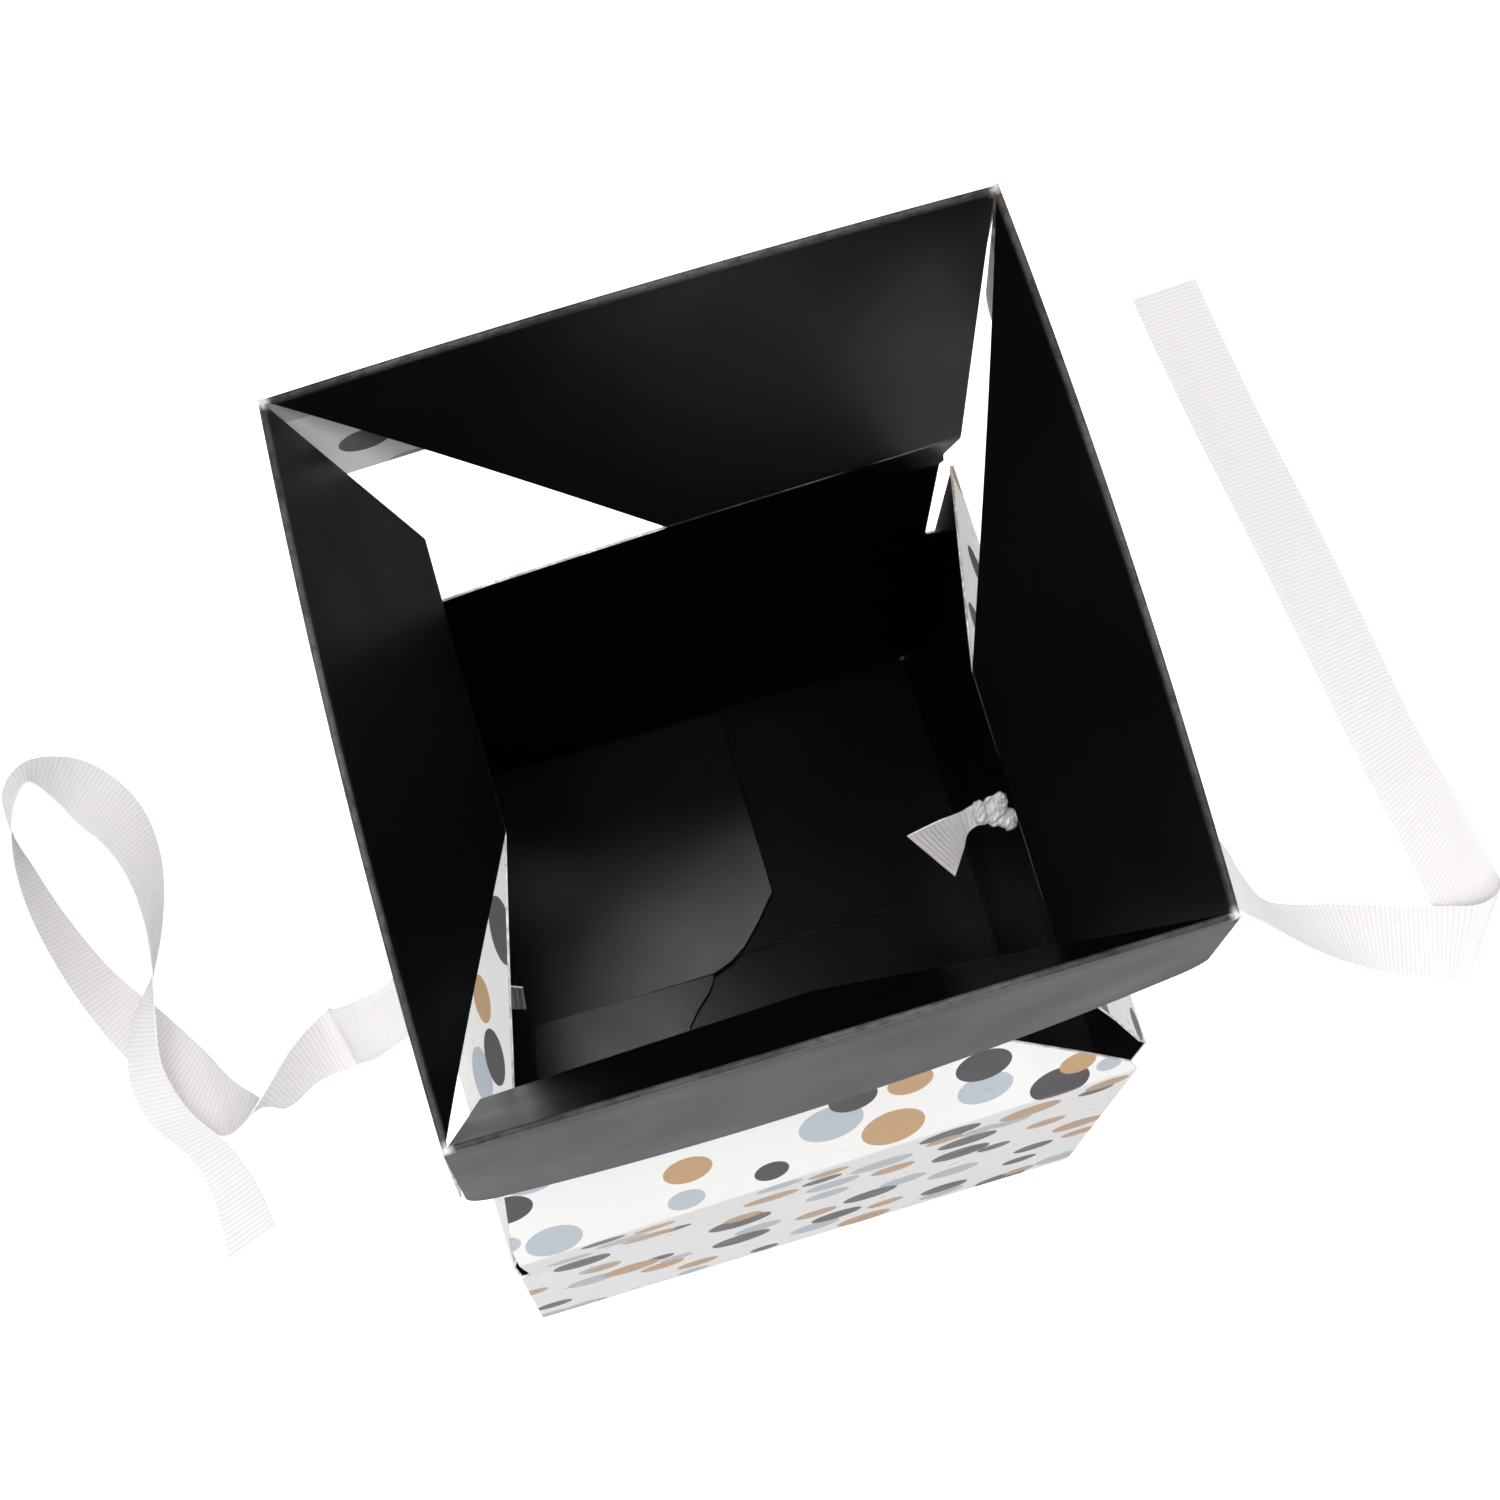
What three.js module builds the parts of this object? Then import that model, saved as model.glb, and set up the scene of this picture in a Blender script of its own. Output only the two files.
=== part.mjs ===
import * as THREE from 'three';

// A square card gift box standing open. Its four walls carry shoulders that lean in to a
// neck, flares that lean out again to the rim, and cuffs folded down outside the flares.
// A ribbon is knotted into a slit of the left wall and another into the right wall.
// Millimetres, +Z up, +Y towards the back, origin at the centre of the base.
// Each side is drawn as the back side is, then turned about Z to its place. In a panel's
// outline the first number runs along the side and the second runs up the panel.

// Card and folds
const card = 0.45;
const foldGap = 0.3;            // left open at every fold, so that the panels turn freely
const layerGap = 0.05;          // between flaps that lie on each other

// Walls
const boxWidth = 120;
const wallHeight = 108;
const cornerSlotWidth = 3.6;    // slots at both ends of the left and right walls
const cornerSlotMouth = 5.3;    // their width at the fold above
const cornerSlotDepth = 34;     // from the fold down to the slot's foot
const slotTaperDepth = 19;      // from the fold down to where the slot begins to widen
const slotFootRadius = 1.8;
const slitLength = 17;
const slitHeight = 1;
const slitDrop = 33;            // from the fold down to the slit's middle

// Shoulders, flares and cuffs
const shoulderLength = 60;
const flareLength = 61.5;
const restLean = THREE.MathUtils.degToRad(17);
const neckStart = 1.2;          // the neck's near end, past the middle of the side
const neckInset = 6.6;          // from the neck's far end to the side's end
const cornerTrim = 3;           // clears the neighbouring shoulder as the box closes
const trimHeight = 5;
const rimStartInset = 1.4;      // from the flare's two upper corners to the side's ends
const rimEndInset = 0.6;
const cuffHeight = 42;
const cuffCornerWidth = 7;
const cuffCornerHeight = 5;

// Glue flap, inside the front left corner
const glueFlapWidth = 14;
const glueFlapLift = 3;
const glueFlapTopDrop = 40;     // from the fold down to its upper end
const glueFlapTaper = 5;

// Ribbons and knots
const ribbonThickness = 0.35;
const ribbonSteps = 80;
const tailSteps = 12;
const knotWidth = 8;
const knotHeight = 7.6;
const knotDepth = 6.4;
const knotLumpShare = 0.09;     // how far the knot's crumples stand out, of its radius

const half = boxWidth / 2;
const inner = half - card;
const creaseMargin = foldGap / 2;
const neckEnd = half - neckInset;

const printedCard = new THREE.MeshStandardMaterial({ color: 0xf3f2ec, roughness: 0.55 });
const blackCard = new THREE.MeshStandardMaterial({ color: 0x08080a, roughness: 0.38 });
const ribbonCloth = new THREE.MeshStandardMaterial({ color: 0xf1efe8, roughness: 0.8 });

const giftBox = new THREE.Group();

function outlineOf(points) {
  return new THREE.Shape(points.map(([along, up]) => new THREE.Vector2(along, up)));
}

function slab(outline) {
  return new THREE.ExtrudeGeometry(outline, { depth: card, bevelEnabled: false, curveSegments: 6 });
}

// An upright panel whose outer face lies at y = outerFace in its own group.
function panel(name, outline, outerFace, material) {
  const geometry = slab(outline);
  geometry.rotateX(Math.PI / 2);
  geometry.translate(0, outerFace, 0);
  const mesh = new THREE.Mesh(geometry, material);
  mesh.name = name;
  return mesh;
}

// Walls

const wallTop = wallHeight - creaseMargin;

function plainWall() {
  return outlineOf([[-half, 0], [half, 0], [half, wallTop], [-half, wallTop]]);
}

// A wall between the two plain ones, with the corner slots and the slit for the ribbon.
function slottedWall() {
  const end = inner - foldGap;
  const foot = wallHeight - cornerSlotDepth;
  const taper = wallHeight - slotTaperDepth;
  const edge = inner - cornerSlotWidth;
  const mouth = inner - cornerSlotMouth;
  const footCentre = foot + slotFootRadius;
  const shape = new THREE.Shape();
  shape.moveTo(-end, 0);
  shape.lineTo(end, 0);
  shape.lineTo(end, foot);
  shape.lineTo(edge + slotFootRadius, foot);
  shape.absarc(edge + slotFootRadius, footCentre, slotFootRadius, -Math.PI / 2, -Math.PI, true);
  shape.lineTo(edge, taper);
  shape.lineTo(mouth, wallTop);
  shape.lineTo(-mouth, wallTop);
  shape.lineTo(-edge, taper);
  shape.lineTo(-edge, footCentre);
  shape.absarc(-edge - slotFootRadius, footCentre, slotFootRadius, 0, -Math.PI / 2, true);
  shape.lineTo(-end, foot);
  shape.closePath();
  shape.holes.push(slit());
  return shape;
}

function slit() {
  const middle = wallHeight - slitDrop;
  const low = middle - slitHeight / 2;
  const high = middle + slitHeight / 2;
  const path = new THREE.Path();
  path.moveTo(-slitLength / 2, low);
  path.lineTo(-slitLength / 2, high);
  path.lineTo(slitLength / 2, high);
  path.lineTo(slitLength / 2, low);
  path.closePath();
  return path;
}

// Folding panels

// A shoulder that keeps its full width at the fold, for the front and the back.
function wideShoulder() {
  const foldEnd = half - creaseMargin;
  const top = shoulderLength - creaseMargin;
  const climb = (half - cornerTrim + neckStart) / shoulderLength;
  return outlineOf([
    [-foldEnd, creaseMargin],
    [foldEnd, creaseMargin],
    [neckEnd, top],
    [neckStart, top],
    [cornerTrim - half + climb * trimHeight, trimHeight],
  ]);
}

// A shoulder that starts between two corner slots, for the left and the right.
function slottedShoulder() {
  const foldEnd = inner - cornerSlotMouth;
  const top = shoulderLength - creaseMargin;
  return outlineOf([
    [-foldEnd, creaseMargin],
    [foldEnd, creaseMargin],
    [neckEnd, top],
    [neckStart, top],
  ]);
}

function flareOutline() {
  const top = flareLength - creaseMargin;
  return outlineOf([
    [neckStart, creaseMargin],
    [neckEnd, creaseMargin],
    [half - rimEndInset, top],
    [rimStartInset - half, top],
  ]);
}

// The cuff hangs from the rim, with its two lower corners rounded off.
function cuffOutline() {
  const shape = new THREE.Shape();
  shape.moveTo(-half, -creaseMargin);
  shape.lineTo(-half, cuffCornerHeight - cuffHeight);
  shape.quadraticCurveTo(-half, -cuffHeight, cuffCornerWidth - half, -cuffHeight);
  shape.lineTo(half - cuffCornerWidth, -cuffHeight);
  shape.quadraticCurveTo(half, -cuffHeight, half, cuffCornerHeight - cuffHeight);
  shape.lineTo(half, -creaseMargin);
  shape.closePath();
  return shape;
}

// Shoulder, flare and cuff, each in a group that turns about its own crease.
function foldingPanels(side, shoulderOutline) {
  const fold = new THREE.Group();
  fold.position.set(0, inner, wallHeight);
  fold.rotation.x = restLean;
  fold.add(panel(`shoulder_${side}`, shoulderOutline, card, printedCard));

  const neck = new THREE.Group();
  neck.position.set(0, card, shoulderLength);
  neck.rotation.x = -2 * restLean;
  neck.add(panel(`flare_${side}`, flareOutline(), 0, blackCard));
  fold.add(neck);

  const rim = new THREE.Group();
  rim.position.set(0, 0, flareLength);
  rim.rotation.x = restLean;
  rim.add(panel(`cuff_${side}`, cuffOutline(), card + creaseMargin, blackCard));
  neck.add(rim);
  return fold;
}

// Bottom flaps

// Outlines seen from above with the wall's inner face at 1, in shares of half the inside
// width. Each flap reaches past the middle and locks with the next one.
const leftFlapShares = [
  [-0.84, 1], [0.015, 0.74], [0.013, 0.605], [0.01, 0.05],
  [0.075, -0.085], [0.24, -0.242], [0.954, -0.245], [0.965, 1],
];
const backFlapShares = [[-0.96, 1], [-0.62, 0.06], [0.645, 0.06], [0.97, 1]];
const frontFlapShares = [
  [-0.96, 1], [-0.34, 0.76], [0.235, 0.37], [0.205, 0.16], [0.054, -0.009], [0.74, -0.013], [0.96, 1],
];
const rightFlapShares = [[-0.96, 1], [-0.5, 0.17], [-0.34, -0.42], [0.67, -0.42], [0.76, 0.5], [0.96, 1]];

function bottomFlap(side, shares, layer) {
  const root = inner - creaseMargin;
  const outline = outlineOf(shares.map(([along, out]) => [along * root, out * root]));
  const mesh = new THREE.Mesh(slab(outline), blackCard);
  mesh.position.z = layer * (card + layerGap);
  mesh.name = `bottom_flap_${side}`;
  return mesh;
}

// The front wall's glue flap, stuck inside the left wall below the corner slot.
function glueFlap() {
  const end = inner - foldGap;
  const top = wallHeight - glueFlapTopDrop;
  const outline = outlineOf([
    [-end, glueFlapLift],
    [glueFlapWidth - end, glueFlapLift + glueFlapTaper],
    [glueFlapWidth - end, top - glueFlapTaper],
    [-end, top],
  ]);
  return panel('glue_flap', outline, inner - layerGap, blackCard);
}

// The four sides, each turned from the back side's place

const sides = [
  { name: 'back', turn: 0, slotted: false, flapShares: backFlapShares, layer: 2 },
  { name: 'left', turn: 90, slotted: true, flapShares: leftFlapShares, layer: 3 },
  { name: 'front', turn: 180, slotted: false, flapShares: frontFlapShares, layer: 1 },
  { name: 'right', turn: -90, slotted: true, flapShares: rightFlapShares, layer: 0 },
];

for (const { name, turn, slotted, flapShares, layer } of sides) {
  const side = new THREE.Group();
  side.rotation.z = THREE.MathUtils.degToRad(turn);
  side.add(panel(`wall_${name}`, slotted ? slottedWall() : plainWall(), half, printedCard));
  side.add(foldingPanels(name, slotted ? slottedShoulder() : wideShoulder()));
  side.add(bottomFlap(name, flapShares, layer));
  if (name === 'left') {
    side.add(glueFlap());
  }
  giftBox.add(side);
}

// Ribbons

// Each station is a pair of points, one on each edge of the ribbon. The upper edge
// comes first where the ribbon leaves the slit.
const rightRibbonEdges = [
  [[59.8, 8, 75], [59.8, -8, 75]],
  [[66, 7.5, 75], [66, -8.5, 75]],
  [[76.5, 5.5, 70.5], [75.5, -10.5, 71.5]],
  [[86.5, 2.5, 60.5], [85.5, -13.5, 62.5]],
  [[94.5, -0.5, 49], [93.5, -16.5, 52]],
  [[102, -4, 36], [100, -20, 40]],
  [[109, -8.5, 24], [107, -24, 28]],
  [[113.5, -14, 12.5], [113, -27, 21]],
  [[118.5, -19, 4.5], [119.5, -31, 14]],
  [[126, -21.5, 1.8], [125.5, -35, 10]],
  [[132, -23, 1.2], [131, -38, 7]],
  [[145, -27.5, 1.6], [140, -42.5, 4]],
  [[155.5, -31, 3.2], [150, -46.5, 2.6]],
  [[163.5, -33.5, 5.4], [153.5, -48.5, 3.8]],
  [[168.5, -32, 5], [155.5, -48.3, 3.4]],
  [[170.8, -28.9, 2.4], [156.4, -46.5, 1.8]],
  [[171, -25, 0.7], [156, -42, 0.7]],
  [[170, -18, 0.6], [155, -32, 0.6]],
  [[168.5, -6, 0.6], [153.5, -15, 0.6]],
  [[166, 10, 0.6], [151, 6, 0.6]],
  [[163.5, 40, 0.6], [147.8, 38.5, 0.6]],
  [[160.8, 67, 0.6], [145, 66, 0.6]],
  [[157.8, 94, 0.6], [142, 93, 0.6]],
  [[155.8, 118, 0.6], [139.8, 117, 0.6]],
  [[155, 130, 0.6], [139, 129, 0.6]],
];

const leftRibbonEdges = [
  [[-59.8, 8, 75], [-59.8, -8, 75]],
  [[-64, 7.5, 75.5], [-64, -8, 73]],
  [[-69, 4, 67], [-69.8, -5.2, 54]],
  [[-78, 5.5, 52], [-76, -4, 40]],
  [[-83.4, 9, 37], [-80.1, -1.2, 25.5]],
  [[-84.8, 13, 21.5], [-82.5, 2.5, 9.5]],
  [[-86, 15, 12.5], [-84, 4, 0.9]],
  [[-94.5, 9, 15], [-92, 3.3, 0.6]],
  [[-103, 0.5, 16.4], [-101, -0.4, 0.6]],
  [[-110, -4.4, 13], [-107, 5, 0.6]],
  [[-115, -3.8, 9.5], [-110, 8.5, 0.6]],
  [[-122, 6, 9], [-114.5, 17, 0.6]],
  [[-130, 18, 9.5], [-121, 27.5, 0.6]],
  [[-137, 34, 13], [-129.5, 40, 0.6]],
  [[-141.5, 51, 15], [-137, 56.5, 0.6]],
  [[-142.6, 62.5, 15.5], [-141, 68.5, 0.6]],
  [[-141.8, 71.5, 15.5], [-143.6, 77, 0.6]],
  [[-139.5, 79.5, 14], [-143.4, 87.5, 0.6]],
  [[-136, 83.5, 13], [-137.5, 92.5, 0.6]],
  [[-132, 79.5, 10], [-127, 90.5, 0.6]],
  [[-128, 72.5, 8], [-119.5, 84, 0.6]],
  [[-123.5, 65.5, 10.5], [-114.5, 74.5, 0.6]],
  [[-120, 56, 13], [-113.2, 63.5, 0.6]],
  [[-118.5, 43.5, 16.5], [-115, 51.5, 2]],
  [[-119, 31, 21], [-120, 36.5, 6]],
  [[-120.2, 21, 24.5], [-126, 26, 10.5]],
  [[-121.5, 11, 22.5], [-130.2, 15, 9.6]],
  [[-118.8, 1, 18], [-129, 4, 6]],
  [[-114, -6, 14.5], [-123, -5, 1.4]],
  [[-111, -12.5, 13], [-120.5, -13, 0.6]],
  [[-109, -20, 11.8], [-120, -21, 0.6]],
  [[-108.2, -26.5, 10.5], [-120.5, -29, 0.6]],
];

// The short ends inside the box, from the knot to the cut edge.
const rightTailEdges = [
  [[52.8, 2.6, 76.4], [52.8, -2.8, 74]],
  [[47.5, 4.4, 76.6], [50, -5.6, 69]],
  [[42.5, 3.4, 74.8], [47.5, -6.4, 65]],
  [[37.4, 1.8, 72], [45.4, -6.4, 61.2]],
];
const leftTailEdges = [
  [[-52.8, 0.4, 78.4], [-52.8, -1.2, 72]],
  [[-49, -3, 81.5], [-49.2, -4, 69]],
  [[-44.2, -8.4, 82.6], [-44.6, -9.2, 67]],
];

function edgeCurve(edges, which) {
  const points = edges.map((pair) => new THREE.Vector3(...pair[which]));
  return new THREE.CatmullRomCurve3(points, false, 'centripetal');
}

// A flat closed band between two edge curves: four corners a section, two end caps. Both
// broad faces are split along the same diagonal, so that they stay apart where it twists.
function band(name, edges, steps) {
  const curves = [edgeCurve(edges, 0), edgeCurve(edges, 1)];
  const rows = Array.from({ length: steps + 1 }, (_, i) => curves.map((c) => c.getPoint(i / steps)));
  const middles = rows.map(([a, b]) => a.clone().lerp(b, 1 / 2));
  const positions = [];
  rows.forEach(([a, b], i) => {
    const ahead = middles[Math.min(i + 1, steps)].clone().sub(middles[Math.max(i - 1, 0)]);
    const across = a.clone().sub(b);
    const lift = ahead.cross(across).setLength(ribbonThickness / 2);
    const section = [a.clone().add(lift), a.clone().sub(lift), b.clone().sub(lift), b.clone().add(lift)];
    section.forEach((corner) => positions.push(...corner.toArray()));
  });
  const index = [0, 1, 2, 0, 2, 3];
  for (let i = 0; i < steps; i += 1) {
    for (let k = 0; k < 4; k += 1) {
      const here = 4 * i + k;
      const next = 4 * i + (k + 1) % 4;
      const [p, q, r, s] = k === 3 ? [here + 4, next + 4, next, here] : [here, here + 4, next + 4, next];
      index.push(p, q, r, p, r, s);
    }
  }
  const last = 4 * steps;
  index.push(last, last + 2, last + 1, last, last + 3, last + 2);
  const geometry = new THREE.BufferGeometry();
  geometry.setAttribute('position', new THREE.Float32BufferAttribute(positions, 3));
  geometry.setIndex(index);
  const mesh = new THREE.Mesh(geometry, ribbonCloth);
  mesh.name = name;
  return mesh;
}

// The knot behind a slit: a squashed ball with a few crumples.
function knot(name, direction) {
  const geometry = new THREE.SphereGeometry(1, 16, 10);
  const position = geometry.attributes.position;
  const point = new THREE.Vector3();
  for (let i = 0; i < position.count; i += 1) {
    point.fromBufferAttribute(position, i);
    const swell = Math.sin(5 * point.y + 2 * point.z) * Math.cos(4 * point.z) * (1 - point.y ** 2);
    point.multiplyScalar(1 - knotLumpShare * (1 + swell));
    position.setXYZ(i, point.x, point.y, point.z);
  }
  geometry.scale(knotDepth / 2, knotHeight / 2, knotWidth / 2);
  geometry.rotateX(Math.PI / 2);
  const mesh = new THREE.Mesh(geometry, ribbonCloth);
  mesh.name = name;
  mesh.position.set(direction * (inner - foldGap - knotDepth / 2), 0, wallHeight - slitDrop);
  return mesh;
}

giftBox.add(band('ribbon_right', rightRibbonEdges, ribbonSteps));
giftBox.add(band('ribbon_left', leftRibbonEdges, ribbonSteps));
giftBox.add(knot('knot_right', 1));
giftBox.add(knot('knot_left', -1));
giftBox.add(band('ribbon_tail_right', rightTailEdges, tailSteps));
giftBox.add(band('ribbon_tail_left', leftTailEdges, tailSteps));

export default giftBox;
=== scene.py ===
# %% [markdown]
# # A square gift box of printed card, standing open
# The real box is one sheet of card, printed with dots on one side and black on the other.
# Each side runs from the ground up as wall, shoulder, flare and cuff, with a crease between
# them, and the four sides together make an hourglass. Two grosgrain ribbons are knotted
# into slits of the left and right walls.
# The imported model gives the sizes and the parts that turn. Everything here is made in its
# frame, in metres, with +Z up and +Y towards the back wall.

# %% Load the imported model
import math

import bpy
from mathutils import Euler, Matrix, Vector


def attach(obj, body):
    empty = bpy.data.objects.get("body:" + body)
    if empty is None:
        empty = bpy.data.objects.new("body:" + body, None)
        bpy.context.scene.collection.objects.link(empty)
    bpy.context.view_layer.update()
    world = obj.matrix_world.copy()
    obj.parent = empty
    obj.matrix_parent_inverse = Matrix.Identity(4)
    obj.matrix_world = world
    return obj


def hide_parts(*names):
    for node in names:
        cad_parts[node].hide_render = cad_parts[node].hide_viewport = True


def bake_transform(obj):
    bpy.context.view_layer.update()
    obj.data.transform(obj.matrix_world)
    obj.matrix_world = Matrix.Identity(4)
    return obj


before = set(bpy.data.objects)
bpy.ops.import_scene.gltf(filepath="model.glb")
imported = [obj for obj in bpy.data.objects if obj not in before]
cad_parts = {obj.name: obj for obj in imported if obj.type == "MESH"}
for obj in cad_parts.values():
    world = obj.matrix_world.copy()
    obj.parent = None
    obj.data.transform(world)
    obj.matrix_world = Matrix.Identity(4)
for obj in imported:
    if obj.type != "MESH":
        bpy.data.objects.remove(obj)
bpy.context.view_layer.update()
MM = 0.001

# %% [markdown]
# ## The camera
# The photograph looks down into the box from above its front. The camera could be placed
# with a Track To constraint, but its slight roll matters here, so it gets its own angles.

# %% Camera
camera_data = bpy.data.cameras.new("camera")
camera_data.lens = 72.3
camera_data.sensor_width = 36
camera_data.clip_start = 0.02
camera_data.clip_end = 20
camera = bpy.data.objects.new("camera", camera_data)
camera.location = (-0.0452, -0.1394, 0.6508)
camera.rotation_euler = Euler([math.radians(turn) for turn in (16.98, -0.656, -16.92)])
bpy.context.scene.collection.objects.link(camera)
bpy.context.scene.camera = camera
print("camera height:", camera.location.z)

# %% [markdown]
# ## The ribbons
# A ribbon is a flat band that can bend and twist but not stretch. A curve with a flat
# bevel would turn by itself along the way, so the band is given by its two edges instead:
# a list of stations, each with a point on either edge. A smooth curve runs through each
# edge, and the band is spun between the two.

# %% Stations along the right ribbon, in millimetres
right_ribbon_edges = [
    ((59.8, 8, 75), (59.8, -8, 75)),
    ((66, 7.5, 75), (66, -8.5, 75)),
    ((76.5, 5.5, 70.5), (75.5, -10.5, 71.5)),
    ((86.5, 2.5, 60.5), (85.5, -13.5, 62.5)),
    ((94.5, -0.5, 49), (93.5, -16.5, 52)),
    ((102, -4, 36), (100, -20, 40)),
    ((109, -8.5, 24), (107, -24, 28)),
    ((113.5, -14, 12.5), (113, -27, 21)),
    ((118.5, -19, 4.5), (119.5, -31, 14)),
    ((126, -21.5, 1.8), (125.5, -35, 10)),
    ((132, -23, 1.2), (131, -38, 7)),
    ((145, -27.5, 1.6), (140, -42.5, 4)),
    ((155.5, -31, 3.2), (150, -46.5, 2.6)),
    ((163.5, -33.5, 5.4), (153.5, -48.5, 3.8)),
    ((168.5, -32, 5), (155.5, -48.3, 3.4)),
    ((170.8, -28.9, 2.4), (156.4, -46.5, 1.8)),
    ((171, -25, 0.7), (156, -42, 0.7)),
    ((170, -18, 0.6), (155, -32, 0.6)),
    ((168.5, -6, 0.6), (153.5, -15, 0.6)),
    ((166, 10, 0.6), (151, 6, 0.6)),
    ((163.5, 40, 0.6), (147.8, 38.5, 0.6)),
    ((160.8, 67, 0.6), (145, 66, 0.6)),
    ((157.8, 94, 0.6), (142, 93, 0.6)),
    ((155.8, 118, 0.6), (139.8, 117, 0.6)),
    ((155, 130, 0.6), (139, 129, 0.6)),
]
print("stations on the right:", len(right_ribbon_edges))

# %% Stations along the left ribbon
left_ribbon_edges = [
    ((-59.8, 8, 75), (-59.8, -8, 75)),
    ((-64, 7.5, 75.5), (-64, -8, 73)),
    ((-69, 4, 67), (-69.8, -5.2, 54)),
    ((-78, 5.5, 52), (-76, -4, 40)),
    ((-83.4, 9, 37), (-80.1, -1.2, 25.5)),
    ((-84.8, 13, 21.5), (-82.5, 2.5, 9.5)),
    ((-86, 15, 12.5), (-84, 4, 0.9)),
    ((-94.5, 9, 15), (-92, 3.3, 0.6)),
    ((-103, 0.5, 16.4), (-101, -0.4, 0.6)),
    ((-110, -4.4, 13), (-107, 5, 0.6)),
    ((-115, -3.8, 9.5), (-110, 8.5, 0.6)),
    ((-122, 6, 9), (-114.5, 17, 0.6)),
    ((-130, 18, 9.5), (-121, 27.5, 0.6)),
    ((-137, 34, 13), (-129.5, 40, 0.6)),
    ((-141.5, 51, 15), (-137, 56.5, 0.6)),
    ((-142.6, 62.5, 15.5), (-141, 68.5, 0.6)),
    ((-141.8, 71.5, 15.5), (-143.6, 77, 0.6)),
    ((-139.5, 79.5, 14), (-143.4, 87.5, 0.6)),
    ((-136, 83.5, 13), (-137.5, 92.5, 0.6)),
    ((-132, 79.5, 10), (-127, 90.5, 0.6)),
    ((-128, 72.5, 8), (-119.5, 84, 0.6)),
    ((-123.5, 65.5, 10.5), (-114.5, 74.5, 0.6)),
    ((-120, 56, 13), (-113.2, 63.5, 0.6)),
    ((-118.5, 43.5, 16.5), (-115, 51.5, 2)),
    ((-119, 31, 21), (-120, 36.5, 6)),
    ((-120.2, 21, 24.5), (-126, 26, 10.5)),
    ((-121.5, 11, 22.5), (-130.2, 15, 9.6)),
    ((-118.8, 1, 18), (-129, 4, 6)),
    ((-114, -6, 14.5), (-123, -5, 1.4)),
    ((-111, -12.5, 13), (-120.5, -13, 0.6)),
    ((-109, -20, 11.8), (-120, -21, 0.6)),
    ((-108.2, -26.5, 10.5), (-120.5, -29, 0.6)),
]
print("stations on the left:", len(left_ribbon_edges))

# %% Stations along the two cut tails inside the box
right_tail_edges = [
    ((52.6, 3, 76.8), (52.4, -0.6, 73.8)),
    ((50.4, 2.6, 76.8), (50.4, -0.7, 72.6)),
    ((48.2, 2.1, 76.4), (49.2, -1.2, 71)),
    ((44.2, 2, 75.4), (48.2, -2.9, 67.4)),
    ((41, 1.8, 74), (47, -4.6, 64)),
    ((37.4, 1.6, 72), (45.6, -6.5, 61.2)),
]
left_tail_edges = [
    ((-52.6, -1.6, 77.5), (-52.4, -1.2, 73.5)),
    ((-50.4, -4, 79.5), (-50.4, -4.2, 71.8)),
    ((-47.7, -6.8, 82), (-48.6, -8, 69.5)),
    ((-44.3, -8.6, 83.4), (-44.7, -9.4, 68)),
]
print("tail stations:", len(right_tail_edges), "right and", len(left_tail_edges), "left")

# %% A smooth curve through points
def curve_point(points, place):
    """The point at a place along the curve, where place 2.5 is halfway from point 2 to point 3."""
    first = min(int(place), len(points) - 2)
    share = place - first
    b, c = points[first], points[first + 1]
    a = points[first - 1] if first > 0 else b * 2 - c
    d = points[first + 2] if first + 2 < len(points) else c * 2 - b
    ab, bc, cd = [math.sqrt((q - p).length) for p, q in ((a, b), (b, c), (c, d))]
    leaving = ((b - a) / ab - (c - a) / (ab + bc) + (c - b) / bc) * bc
    arriving = ((c - b) / bc - (d - b) / (bc + cd) + (d - c) / cd) * bc
    square, cube = share * share, share * share * share
    return (
        b * (2 * cube - 3 * square + 1)
        + leaving * (cube - 2 * square + share)
        + c * (3 * square - 2 * cube)
        + arriving * (cube - square)
    )


outer_edge = [Vector(pair[0]) for pair in right_ribbon_edges]
print("halfway between the first stations:", curve_point(outer_edge, 0.5))

# %% Even rows along a band
FINE_STEPS = 2000


def band_rows(edges, spacing):
    """Pairs of edge points at even distances along the band's middle line, and its length."""
    sides = [[Vector(pair[k]) * MM for pair in edges] for k in (0, 1)]
    last = len(edges) - 1
    fine = [last * i / FINE_STEPS for i in range(FINE_STEPS + 1)]
    pairs = [(curve_point(sides[0], place), curve_point(sides[1], place)) for place in fine]
    middles = [(a + b) / 2 for a, b in pairs]
    walked = [0.0]
    for here, there in zip(middles, middles[1:]):
        walked.append(walked[-1] + (there - here).length)
    count = max(2, round(walked[-1] / spacing))
    rows, k = [], 0
    for i in range(count + 1):
        target = walked[-1] * i / count
        while k < len(walked) - 2 and walked[k + 1] < target:
            k += 1
        share = (target - walked[k]) / (walked[k + 1] - walked[k])
        rows.append(tuple(pairs[k][e].lerp(pairs[k + 1][e], share) for e in (0, 1)))
    return rows, walked[-1]


print("length of the right tail:", round(band_rows(right_tail_edges, MM)[1], 4))

# %% Selecting one piece, and finishing it with a modifier
def only(piece):
    """Makes the piece the only one selected, and the active one."""
    bpy.ops.object.select_all(action="DESELECT")
    piece.select_set(True)
    bpy.context.view_layer.objects.active = piece


def finish_modifier(piece, kind, **settings):
    """Adds a modifier with these settings and applies it."""
    only(piece)
    modifier = piece.modifiers.new(kind.lower(), kind)
    for name, value in settings.items():
        setattr(modifier, name, value)
    bpy.ops.object.modifier_apply(modifier=modifier.name)


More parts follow.
